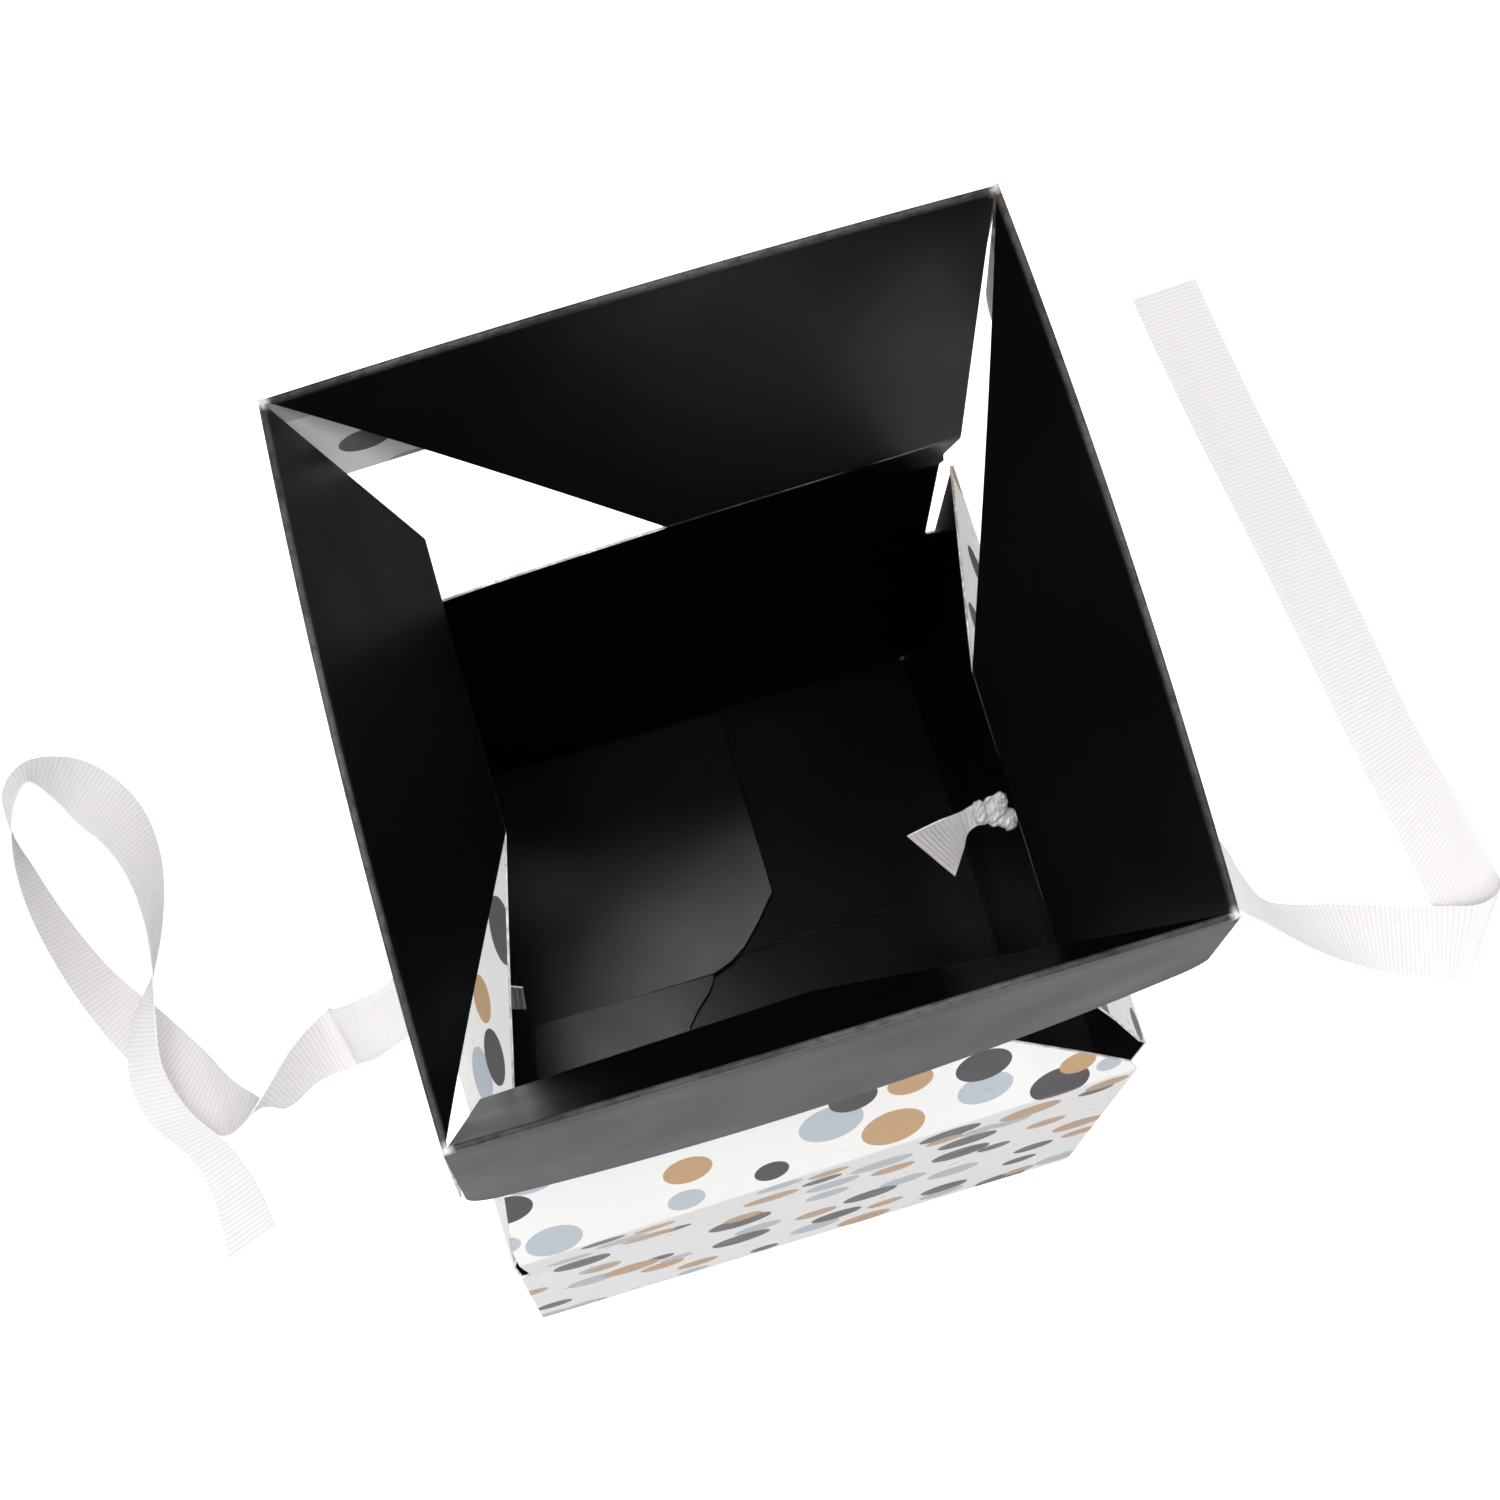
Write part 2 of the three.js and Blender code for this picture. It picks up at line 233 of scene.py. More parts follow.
# %% The points of a woven band
RIB = 1.0 * MM
RIB_HEIGHT = 0.055 * MM
ROWS_PER_RIB = 4
RIBBON_WIDTH = 16 * MM
SELVEDGE = 0.07
COLUMNS = (0, 0.035, 0.07, 0.11, 0.25, 0.4, 0.55, 0.7, 0.85, 0.9, 0.93, 0.965, 1)


def band_points(rows, length):
    """Raised cross ribs with a plain selvedge along either edge, and where each point is on the cloth."""
    points, places = [], []
    for i, (a, b) in enumerate(rows):
        ahead = rows[min(i + 1, len(rows) - 1)]
        behind = rows[max(i - 1, 0)]
        along = (ahead[0] + ahead[1]) - (behind[0] + behind[1])
        lift = along.cross(a - b).normalized()
        wave = math.cos(2 * math.pi * i / ROWS_PER_RIB)
        for share in COLUMNS:
            plain = share <= SELVEDGE or share >= 1 - SELVEDGE
            height = 0 if plain else RIB_HEIGHT * wave
            points.append(a.lerp(b, share) + lift * height)
            places.append((share * RIBBON_WIDTH, length * i / (len(rows) - 1)))
    return points, places


print("points across a ribbon:", len(COLUMNS))

# %% The woven band itself
RIBBON_THICKNESS = 0.3 * MM


def woven_band(name, edges):
    """A ribbon between two edges, with its middle line and its length."""
    rows, length = band_rows(edges, RIB / ROWS_PER_RIB)
    points, places = band_points(rows, length)
    wide, faces = len(COLUMNS), []
    for i in range(len(rows) - 1):
        for k in range(wide - 1):
            corner = i * wide + k
            faces.append((corner, corner + 1, corner + wide + 1, corner + wide))
    mesh = bpy.data.meshes.new(name)
    mesh.from_pydata([tuple(p) for p in points], [], faces)
    layer = mesh.uv_layers.new(name="weave")
    for loop in mesh.loops:
        layer.data[loop.index].uv = places[loop.vertex_index]
    band = bpy.data.objects.new(name, mesh)
    bpy.context.scene.collection.objects.link(band)
    finish_modifier(band, "SOLIDIFY", thickness=RIBBON_THICKNESS, offset=0)
    middle = [(a + b) / 2 for a, b in rows]
    print(name, "length", round(length, 4), "faces", len(band.data.polygons))
    return band, middle, length


ribbon_right, right_middle, right_length = woven_band("grosgrain_right", right_ribbon_edges)
ribbon_left, left_middle, left_length = woven_band("grosgrain_left", left_ribbon_edges)
tail_right, _, _ = woven_band("tail_right", right_tail_edges)
tail_left, _, _ = woven_band("tail_left", left_tail_edges)

# %% [markdown]
# ## The printed dots
# The card is printed with plain round dots in three inks, some over others. They lie flat in
# the sheet, so they are colours and not pieces. They could be a picture, but each is only a
# round spot with a place and a size. So each is a short row of numbers here, and one side's
# print runs on round the corner into the next one's.

# %% The printed dots: distance along the side, height up the sheet and width, in millimetres
GOLD_DOTS = [
    (32.5, 99, 8), (34, 83.5, 10.5), (10, 85, 11), (44.5, 53.5, 7.5), (39, 39.5, 12), (32.5, 28.5, 9.5),
    (25, 15, 9), (15.5, 66, 8), (-0.5, 38, 9), (-40.5, 96.5, 12), (-24, 92.5, 7.5), (-46.5, 71.5, 8),
    (-55, 101.5, 8.5), (-55, 55, 10.5), (-57, 41.5, 7.5), (-15, 71, 9), (-1, 98.5, 8), (-16.5, 21, 8),
    (-12.5, 6, 12), (-48, 6.5, 7), (-13.5, 115.5, 12), (24, 123.5, 9), (-17.5, 130, 8.5),
    (-48.5, 117.5, 7), (60, 48, 8), (72, 112, 9), (79, 66, 12), (67, 22, 7),
]
GREY_DOTS = [
    (39, 92, 10), (8.5, 102.5, 9), (49.5, 85, 9), (45, 55, 9), (47, 39, 11), (29.5, 34.5, 7),
    (26, 4, 7), (12, 43, 10), (50.5, 1, 10.5), (-1, 16.5, 11), (-37.5, 89, 8), (-31, 90.5, 8),
    (-30, 39.5, 11), (-12, 85, 12.5), (-18.5, 49, 10), (-2.5, 75.5, 11), (-2, 62.5, 9),
    (-30, 8.5, 10), (-56.5, 8.5, 10), (-31, 119, 10.5), (-2.5, 124, 12), (25.5, 113, 7),
    (50, 113.5, 10.5), (58.5, 117, 6), (-54.5, 113.5, 5), (58, 3, 8), (70, 90, 9), (76, 40, 10), (66, 64, 7),
]
DARK_DOTS = [
    (42, 103, 8.5), (29.5, 82, 7.5), (48, 70.5, 11.5), (33, 42, 6.5), (16, 60, 13), (15.5, 33.5, 12.5),
    (10, 5.5, 6.5), (56.5, 17.5, 8), (-24.5, 100, 12), (-29.5, 80.5, 12), (-29.5, 64.5, 12),
    (-37, 58.5, 7), (-53.5, 96.5, 7), (-47.5, 39.5, 8.5), (-46, 25, 7.5), (-12, 42, 11.5),
    (0, 89, 8), (-5.5, 25, 11), (-30, 16, 10.5), (-44, 2.5, 11.5), (-45, 112, 11.5),
    (-31, 127.5, 10.5), (-7, 130.5, 9), (9.5, 113.5, 6.5), (56, 129.5, 9.5), (72, 104, 12),
    (81, 84, 7), (68, 43, 8.5), (78, 10, 12), (71, 128, 7),
]
print("dots:", len(GOLD_DOTS), "gold,", len(GREY_DOTS), "grey and", len(DARK_DOTS), "dark")

# %% How the print moves on from side to side
PRINT_WIDTH = 150
PRINT_HEIGHT = 137
SIDE_REACH = 61
PRINT_SHIFT = {"back": 90, "left": 45, "front": 0, "right": -45}
# The patches of the other sides that can be seen from above, and the dots in them
PATCHES = {
    "back": [(-60, -30, 90, 137)],
    "left": [(-36, 0, 108, 137), (-36, 0, 0, 32)],
    "front": [],
    "right": [(-64, -8, 106, 137), (-64, -8, 0, 32)],
}
PATCH_DOTS = {
    "back": {"gold": [], "grey": [(-54.5, 98, 12)], "dark": [(-46, 121.5, 9)]},
    "left": {
        "gold": [(-17.5, 132, 8.5)], "grey": [(-28, 121, 10)],
        "dark": [(-11.5, 15.5, 12), (-27.5, 130, 10)],
    },
    "front": {"gold": [], "grey": [], "dark": []},
    "right": {"gold": [(-56.5, 110, 7)], "grey": [], "dark": [(-34, 123, 9), (-16.5, 8.5, 9.5)]},
}


def side_dots(side, ink, dots):
    """The dots of one ink on one side, moved along and repeated across the print's edges."""
    placed = []
    for a, v, wide in dots:
        moved = (a - PRINT_SHIFT[side] + PRINT_WIDTH / 2) % PRINT_WIDTH - PRINT_WIDTH / 2
        seen = any(a0 < moved < a1 and v0 < v < v1 for a0, a1, v0, v1 in PATCHES[side])
        if abs(moved) < SIDE_REACH + wide / 2 and not seen:
            placed.append((moved, v, wide))
    placed += PATCH_DOTS[side][ink]
    above = [(a, v + PRINT_HEIGHT, wide) for a, v, wide in placed if v < wide / 2]
    below = [(a, v - PRINT_HEIGHT, wide) for a, v, wide in placed if v > PRINT_HEIGHT - wide / 2]
    return placed + above + below


print("gold dots on the left side:", len(side_dots("left", "gold", GOLD_DOTS)))

# %% [markdown]
# ## Small steps that every finish is built from
# Card, cloth and raw edges are never one even colour. Each finish could be wired up by hand in
# the shader editor, but the same few steps return in all of them: a sum, a mix of two colours,
# cloudy noise, a ramp and a little relief. They are named once here and then read like a recipe.

# %% A material, sums and mixes
def new_material(name, color, roughness, specular=0.5):
    material = bpy.data.materials.new(name)
    material.use_nodes = True
    shader = material.node_tree.nodes["Principled BSDF"]
    shader.inputs["Base Color"].default_value = (*color, 1)
    shader.inputs["Roughness"].default_value = roughness
    shader.inputs["Specular IOR Level"].default_value = specular
    return material


def feed(tree, socket, value):
    """Leads a value into the material's own shader."""
    tree.links.new(value, tree.nodes["Principled BSDF"].inputs[socket])


def math_node(tree, operation, first, second=None, third=None, clamp=False):
    node = tree.nodes.new("ShaderNodeMath")
    node.operation = operation
    node.use_clamp = clamp
    for place, value in enumerate((first, second, third)):
        if isinstance(value, (int, float)):
            node.inputs[place].default_value = value
        elif value is not None:
            tree.links.new(value, node.inputs[place])
    return node.outputs[0]


def mix_node(tree, share, below, above):
    node = tree.nodes.new("ShaderNodeMix")
    node.data_type = "RGBA"
    sockets = {socket.identifier: socket for socket in node.inputs}
    tree.links.new(share, sockets["Factor_Float"])
    for value, socket in ((below, sockets["A_Color"]), (above, sockets["B_Color"])):
        if isinstance(value, tuple):
            socket.default_value = (*value, 1)
        else:
            tree.links.new(value, socket)
    return next(socket for socket in node.outputs if socket.identifier == "Result_Color")


# %% Places: a piece's own map, and a place taken apart
def own_map(tree, name):
    node = tree.nodes.new("ShaderNodeUVMap")
    node.uv_map = name
    return node.outputs["UV"]


def split(tree, place):
    """The first two measures of a place."""
    parts = tree.nodes.new("ShaderNodeSeparateXYZ")
    tree.links.new(place, parts.inputs[0])
    return parts.outputs["X"], parts.outputs["Y"]


# %% Noise, ramps and relief
def noise_node(tree, scale, detail=2):
    place = tree.nodes.new("ShaderNodeTexCoord")
    noise = tree.nodes.new("ShaderNodeTexNoise")
    noise.inputs["Scale"].default_value = scale
    noise.inputs["Detail"].default_value = detail
    tree.links.new(place.outputs["Object"], noise.inputs["Vector"])
    return noise.outputs["Fac"]


def ramp(tree, value, low, high, to_low=0.0, to_high=1.0):
    node = tree.nodes.new("ShaderNodeMapRange")
    node.inputs["From Min"].default_value = low
    node.inputs["From Max"].default_value = high
    node.inputs["To Min"].default_value = to_low
    node.inputs["To Max"].default_value = to_high
    tree.links.new(value, node.inputs["Value"])
    return node.outputs["Result"]


def bump(tree, height, distance, strength):
    node = tree.nodes.new("ShaderNodeBump")
    node.inputs["Distance"].default_value = distance
    node.inputs["Strength"].default_value = strength
    tree.links.new(height, node.inputs["Height"])
    feed(tree, "Normal", node.outputs["Normal"])


# %% [markdown]
# ## White card with printed dots
# The outside is coated white card with a soft gloss. Every dot is treated as a ball of one
# radius that dips into the sheet: how deep it sits decides how large a circle it leaves. Then
# the nearest ball alone tells whether a point is inked, where one circle after another would
# need far more steps.

# %% Ink, from the place on the sheet
BALL = 8 * MM
INK_EDGE = 0.07 * MM


def sheet_place(tree):
    """The place on the sheet, with the height folded back into one print's height."""
    wrap = tree.nodes.new("ShaderNodeVectorMath")
    wrap.operation = "WRAP"
    tree.links.new(own_map(tree, "sheet"), wrap.inputs[0])
    wrap.inputs[1].default_value = (1, PRINT_HEIGHT * MM, 1)
    wrap.inputs[2].default_value = (-1, 0, -1)
    return wrap.outputs["Vector"]


def inked(tree, place, dots):
    """1 inside the dots and 0 outside them."""
    nearest = None
    for a, v, wide in dots:
        depth = math.sqrt(BALL ** 2 - (wide / 2 * MM) ** 2)
        ball = tree.nodes.new("ShaderNodeVectorMath")
        ball.operation = "DISTANCE"
        ball.inputs[1].default_value = (a * MM, v * MM, depth)
        tree.links.new(place, ball.inputs[0])
        here = ball.outputs["Value"]
        nearest = here if nearest is None else math_node(tree, "MINIMUM", nearest, here)
    return math_node(tree, "MULTIPLY_ADD", nearest, -1 / INK_EDGE, BALL / INK_EDGE + 0.5, clamp=True)


print("gold balls on the front:", len(side_dots("front", "gold", GOLD_DOTS)))

# %% The white card's finish
PAPER = (0.86, 0.855, 0.84)
CLOUD = (0.6, 0.58, 0.56)
INKS = [
    ("grey", GREY_DOTS, (0.44, 0.49, 0.54)),
    ("dark", DARK_DOTS, (0.035, 0.035, 0.039)),
    ("gold", GOLD_DOTS, (0.5, 0.3, 0.14)),
]


def printed_material(side):
    """White card whose inks lie over one another in their order of printing."""
    material = new_material("printed_card_" + side, PAPER, 0.3, specular=0.36)
    tree = material.node_tree
    place = sheet_place(tree)
    color = PAPER
    for ink, dots, tint in INKS:
        color = mix_node(tree, inked(tree, place, side_dots(side, ink, dots)), color, tint)
    cloudy = ramp(tree, noise_node(tree, 35), 0.3, 0.7, 0, 0.035)
    feed(tree, "Base Color", mix_node(tree, cloudy, color, CLOUD))
    feed(tree, "Roughness", ramp(tree, noise_node(tree, 160), 0.3, 0.7, 0.27, 0.35))
    bump(tree, noise_node(tree, 900), 0.004 * MM, 0.3)
    return material


print_finish = {side: printed_material(side) for side in PRINT_SHIFT}
print("print finishes:", len(print_finish), "nodes each:", len(print_finish["front"].node_tree.nodes))

# %% [markdown]
# ## Black card
# The inside is satin black and shows the lamps as soft sheens. Where it is folded, the black
# rubs off in a thin pale line, which along the rim is also a painted highlight. The wear could
# be painted, but it follows the folds, and the folds are level lines of the sheet, so the
# distance from a line tells how worn a point is.

# %% Where the black rubs off, and where the rim highlight is painted, in distances on the sheet
RIM_LINE = 229.6 * MM
NECK_LINE = 168 * MM
FOOT_LINE = 2.6 * MM


def line_distance(tree, height, line):
    return math_node(tree, "ABSOLUTE", math_node(tree, "SUBTRACT", height, line))


def fold_wear_and_rim_highlight(tree):
    """How worn the black is at the rim, its corners, the neck, the foot and its corners; and a painted rim
    highlight.
    """
    across, height = split(tree, own_map(tree, "sheet"))
    along = math_node(tree, "ABSOLUTE", across)
    rim = line_distance(tree, height, RIM_LINE)
    neck = line_distance(tree, height, NECK_LINE)
    foot = line_distance(tree, height, FOOT_LINE)
    patchy = noise_node(tree, 60)
    places = [
        (ramp(tree, along, 58.3 * MM, 59.8 * MM), ramp(tree, rim, 1.6 * MM, 0.4 * MM)),
        (ramp(tree, neck, 0.34 * MM, 0.16 * MM), ramp(tree, patchy, 0.42, 0.6, 0, 0.5)),
        # Along the rim: partly wear, partly a painted highlight of the rounded fold
        (ramp(tree, rim, 0.9 * MM, 0.2 * MM), ramp(tree, patchy, 0.3, 0.7, 0.05, 0.115)),
        (ramp(tree, along, 58.4 * MM, 59.2 * MM), ramp(tree, height, 4.5 * MM, 3 * MM)),
    ]
    rub_and_highlight = ramp(tree, foot, 0.3 * MM, 0.1 * MM, 0, 0.08)
    for near, amount in places:
        rub_and_highlight = math_node(tree, "MAXIMUM", rub_and_highlight, math_node(tree, "MULTIPLY", near, amount))
    grain = ramp(tree, noise_node(tree, 700, 3), 0.3, 0.55, 0.35, 1)
    return math_node(tree, "MULTIPLY", rub_and_highlight, grain)


print("worn lines at:", FOOT_LINE, NECK_LINE, RIM_LINE)

# %% The black card's finishes: worn and with a painted rim highlight on the sides, smoother on the bottom flaps
BLACK = (0.003, 0.003, 0.0033)
WORN_AND_RIM_HIGHLIGHT = (0.62, 0.585, 0.56)


def black_material(name, specular, gloss, worn_and_rim_highlight):
    material = new_material(name, BLACK, 0.34, specular)
    tree = material.node_tree
    # Wear at the folds, and a painted highlight along the rim
    if worn_and_rim_highlight:
        feed(tree, "Base Color", mix_node(tree, fold_wear_and_rim_highlight(tree), BLACK, WORN_AND_RIM_HIGHLIGHT))
    feed(tree, "Roughness", ramp(tree, noise_node(tree, 45, 4), 0.3, 0.7, *gloss))
    bump(tree, noise_node(tree, 1200, 3), 0.015 * MM, 0.3)
    return material


black_finish = black_material("black_card_side", 0.3, (0.3, 0.4), worn_and_rim_highlight=True)
flap_finish = black_material("black_card_flap", 0.2, (0.19, 0.24), worn_and_rim_highlight=False)
print("black finishes:", black_finish.name, flap_finish.name)

# %% [markdown]
# ## Raw edges
# Where the sheet is cut, its white core shows, dulled by the black that the blade drags over
# it. A line of one colour would look drawn, so fine noise breaks the core up. The edges of the
# bottom flaps are faint and darker, with only a few white specks.

# %% The two edge finishes
CORE_DULL = (0.52, 0.49, 0.47)
CORE_BRIGHT = (0.78, 0.75, 0.71)
edge_finish = new_material("raw_card_edge", (0.6, 0.57, 0.53), 0.8)
tree = edge_finish.node_tree
core = ramp(tree, noise_node(tree, 500, 4), 0.42, 0.6)
feed(tree, "Base Color", mix_node(tree, core, CORE_DULL, CORE_BRIGHT))

flap_edge_finish = new_material("flap_edge", (0.1, 0.1, 0.1), 0.8)
tree = flap_edge_finish.node_tree
speck = ramp(tree, noise_node(tree, 800, 2), 0.62, 0.68)
faint = ramp(tree, noise_node(tree, 90, 2), 0.35, 0.65, 0.1, 0.45)
faint_color = mix_node(tree, faint, (0.01, 0.01, 0.01), (0.7, 0.67, 0.63))
feed(tree, "Base Color", mix_node(tree, speck, faint_color, (0.75, 0.72, 0.68)))
print("edge finishes:", edge_finish.name, flap_edge_finish.name)

# %% [markdown]
# ## Grosgrain
# The ribbons are white cloth with a rib about every millimetre. The ribs are already in the
# mesh, where they catch the light, so the finish only adds what is finer: painted shade in the
# valleys between the ribs, and the threads that run lengthwise. Both read the band's own map,
# so they follow it round every turn.

# %% The cloth's finish
THREAD = 0.32 * MM
CLOTH = (0.885, 0.855, 0.87)
CLOTH_VALLEY_SHADE = (0.69, 0.66, 0.68)
cloth_finish = new_material("grosgrain_cloth", (0.84, 0.835, 0.85), 0.72)
tree = cloth_finish.node_tree
tree.nodes["Principled BSDF"].inputs["Sheen Weight"].default_value = 0.25
across, along = split(tree, own_map(tree, "weave"))
threads = math_node(tree, "SINE", math_node(tree, "MULTIPLY", across, 2 * math.pi / THREAD))
ribs = math_node(tree, "COSINE", math_node(tree, "MULTIPLY", along, 2 * math.pi / RIB))
# Painted shade in the valleys between the ribs
valley_shade = ramp(tree, ribs, -1, 0.4, 0.5, 0)
feed(tree, "Base Color", mix_node(tree, valley_shade, CLOTH, CLOTH_VALLEY_SHADE))
bump(tree, math_node(tree, "ADD", threads, noise_node(tree, 2500)), 0.03 * MM, 0.5)
print("cloth finish nodes:", len(tree.nodes))

# %% [markdown]
# ## The card sheet
# All panels of a side are one piece of card. Each could be drawn by itself, but neighbours
# would then have to be matched at every crease. So a side is one outline on the flat sheet, in
# distance along the side and height up the sheet, and each panel takes its own band.

# %% Sizes of the sheet, in millimetres
CARD = 0.45
HALF = 60
LEAN = math.radians(17)
FOLD = 108
NECK = 168
RIM = 229.5
ROLL = 0.075
ROLL_LENGTH = ROLL * (math.pi - LEAN)
CUFF = 42
HEM = RIM + ROLL_LENGTH + CUFF
SIDE_TURN = {"back": 0, "left": 90, "front": 180, "right": -90}
print("height of the sheet:", round(HEM, 1))

# %% The corner slots and the ribbon slits
SLOT_FOOT = 74
SLOT_EDGE = 57.8
SLOT_MOUTH = 57.3
SLOT_ROUND = 1.2
SLIT_HEIGHT = 75
SLIT_REACH = 8.5
SLIT_GAP = 0.5
SLIT = [
    (-SLIT_REACH, SLIT_HEIGHT - SLIT_GAP), (SLIT_REACH, SLIT_HEIGHT - SLIT_GAP),
    (SLIT_REACH, SLIT_HEIGHT + SLIT_GAP), (-SLIT_REACH, SLIT_HEIGHT + SLIT_GAP),
]
WITH_SLIT = ("left", "right")


def slot_foot(end):
    """The rounded foot of a corner slot, from its open side to its inner edge."""
    steps = [math.radians(18 * k) for k in range(6)]
    x, y = SLOT_EDGE + SLOT_ROUND, SLOT_FOOT + SLOT_ROUND
    corner = [(x - SLOT_ROUND * math.sin(t), y - SLOT_ROUND * math.cos(t)) for t in steps]
    return [(end, SLOT_FOOT)] + corner


print("slot height:", FOLD - SLOT_FOOT)

# %% Outlines of the panels
NECK_START = {"back": 1.2, "left": 1.2, "front": 1.2, "right": -2.4}
NECK_END = 53.4
WALL_END = {"back": 60, "left": 59.55, "front": 60, "right": 59.55}
FLARE_TOP = [(59.4, RIM), (-58.6, RIM)]
CUFF_END = 60.4
CUFF_CORNER = 56.2
CUFF_ROUND = (4.2, 5)


def lower_outline(side):
    """Wall and shoulder, with a slot at one end and a slanted edge at the other."""
    start, end = NECK_START[side], WALL_END[side]
    slotted_edge = [(end, 0)] + slot_foot(end)
    slotted_edge += [(SLOT_MOUTH, FOLD), (57.6, 114), (55.6, 133), (NECK_END, NECK)]
    slanted_edge = [(start, NECK), (-50.8, 119.2), (-58.6, 111.5), (-end, FOLD), (-end, 0)]
    return slotted_edge + slanted_edge


def upper_outline(side):
    """Flare."""
    return [(NECK_START[side], NECK), (NECK_END, NECK)] + FLARE_TOP


def neck_outline(side):
    """Shoulder and flare together, for the crease between them."""
    lower = lower_outline(side)
    at = lower.index((NECK_END, NECK))
    return lower[:at + 1] + FLARE_TOP + lower[at + 1:]


def cuff_outline():
    """Cuff, with rounded lower corners."""
    wide, high = CUFF_ROUND
    turn = [math.radians(15 * k) for k in range(7)]
    corner = [(CUFF_CORNER + wide * math.cos(t), HEM - high + high * math.sin(t)) for t in turn]
    right = [(CUFF_END, RIM)] + corner
    return right + [(-a, v) for a, v in reversed(right)]


print("corners of the front's lower outline:", len(lower_outline("front")))

# %% [markdown]
# ## Cutting a panel
# The real sheet is stamped out with a shaped knife. The outline could be filled as one large
# face, but such a face can't bend. So a grid is laid first, every edge of the outline cuts
# through it with a bisect, and the faces that fall outside are deleted. What is left has clean
# edges and enough faces in between to follow the folds.

# %% Picking faces, and cutting along a line
CUT_REACH = 3


def inside(point, outline):
    x, y = point
    odd = False
    for (x0, y0), (x1, y1) in zip(outline, outline[1:] + outline[:1]):
        if (y0 > y) != (y1 > y) and x < x0 + (y - y0) / (y1 - y0) * (x1 - x0):
            odd = not odd
    return odd


def edit(piece, selected=None):
    """Edit mode with the faces picked by their centre, or all of them."""
    only(piece)
    bpy.context.scene.tool_settings.mesh_select_mode = (False, False, True)
    for corner in piece.data.vertices:
        corner.select = False
    for line in piece.data.edges:
        line.select = False
    for face in piece.data.polygons:
        face.select = selected is None or selected(face.center)
    bpy.ops.object.mode_set(mode="EDIT")


def cut_line(piece, start, end):
    """Cuts the flat grid along a line, over the heights that the line spans."""
    low, high = sorted((start[1], end[1]))
    across = Vector((start[1] - end[1], end[0] - start[0], 0)).normalized()
    edit(piece, lambda c: low - CUT_REACH <= c.y <= high + CUT_REACH)
    bpy.ops.mesh.bisect(plane_co=(*start, 0), plane_no=across)
    bpy.ops.object.mode_set(mode="OBJECT")


print("middle of the slit is open:", inside((0, SLIT_HEIGHT), SLIT))

# %% A panel, cut from a grid
GRID_WIDTH = 122
CELL = 5
MERGE = 0.004


def sheet_piece(name, outline, low, high, holes=(), rows=(), cell=CELL):
    """The part of an outline between two heights, as a flat mesh in millimetres."""
    height = high - low
    columns, levels = round(GRID_WIDTH / cell), max(1, round(height / cell))
    bpy.ops.object.select_all(action="DESELECT")
    bpy.ops.mesh.primitive_grid_add(x_subdivisions=columns, y_subdivisions=levels, size=1)
    piece = bpy.context.active_object
    piece.name = piece.data.name = name
    edit(piece)
    bpy.ops.transform.resize(value=(GRID_WIDTH, height, 1))
    bpy.ops.transform.translate(value=(0, low + height / 2, 0))
    bpy.ops.object.mode_set(mode="OBJECT")
    for row in rows:
        if low < row < high:
            cut_line(piece, (-GRID_WIDTH / 2, row), (GRID_WIDTH / 2, row))
    for loop in [outline, *holes]:
        for start, end in zip(loop, loop[1:] + loop[:1]):
            if min(start[1], end[1]) < high and max(start[1], end[1]) > low and start != end:
                cut_line(piece, start, end)

    def waste(c):
        return not inside((c.x, c.y), outline) or any(inside((c.x, c.y), hole) for hole in holes)

    edit(piece, waste)
    bpy.ops.mesh.delete(type="FACE")
    bpy.ops.mesh.select_all(action="SELECT")
    bpy.ops.mesh.remove_doubles(threshold=MERGE)
    bpy.ops.object.mode_set(mode="OBJECT")
    return piece


print("columns of the grid:", round(GRID_WIDTH / CELL))

# %% [markdown]
# ## From the flat sheet to the standing box
# The real sheet is creased and folded up. An armature or a lattice could fold it, but the
# creases are known exactly, so every height on the sheet simply has a place on the standing
# box: straight from crease to crease, with a short round at each crease and a tight roll over
# the rim.

# %% The folded profile
FOLD_POINT = (60, FOLD + CARD * math.tan(LEAN / 2))
NECK_POINT = (42.438, 165.51)
RIM_POINT = (60.419, 224.323)
CREASE_REACH = 1.0
STATIONS = [(0, (60, 0)), (FOLD, FOLD_POINT), (NECK, NECK_POINT), (RIM, RIM_POINT)]


def profile(v):
    """Distance from the box's middle and height, for a height on the flat sheet."""
    if v > RIM:
        turned = min((v - RIM) / ROLL, math.pi - LEAN)
        angle = math.pi - LEAN - turned
        centre = (RIM_POINT[0] + ROLL * math.cos(LEAN), RIM_POINT[1] - ROLL * math.sin(LEAN))
        down = max(0, v - RIM - ROLL_LENGTH)
        return Vector((centre[0] + ROLL * math.cos(angle), centre[1] + ROLL * math.sin(angle) - down))
    k = 0
    while k < 2 and v > STATIONS[k + 1][0]:
        k += 1
    (v0, p0), (v1, p1) = STATIONS[k], STATIONS[k + 1]
    point = Vector(p0).lerp(Vector(p1), (v - v0) / (v1 - v0))
    for n in (1, 2):
        near = abs(v - STATIONS[n][0])
        if near < CREASE_REACH:
            here = Vector(STATIONS[n][1])
            before = (here - Vector(STATIONS[n - 1][1])).normalized()
            after = (Vector(STATIONS[n + 1][1]) - here).normalized()
            point += (after - before) * (CREASE_REACH - near) ** 2 / (4 * CREASE_REACH)
    return point


print("middle of the wall:", profile(FOLD / 2), "middle of the flare:", profile((NECK + RIM) / 2))

# %% [markdown]
# ## Folded by hand
# No two corners of a hand-folded box are alike: walls bulge at the slots and edges bow. Noise
# would make such unevenness too, but in the wrong places. Here seven heights of each side say
# how far its two ends stand from a perfect square, and what lies between is blended.

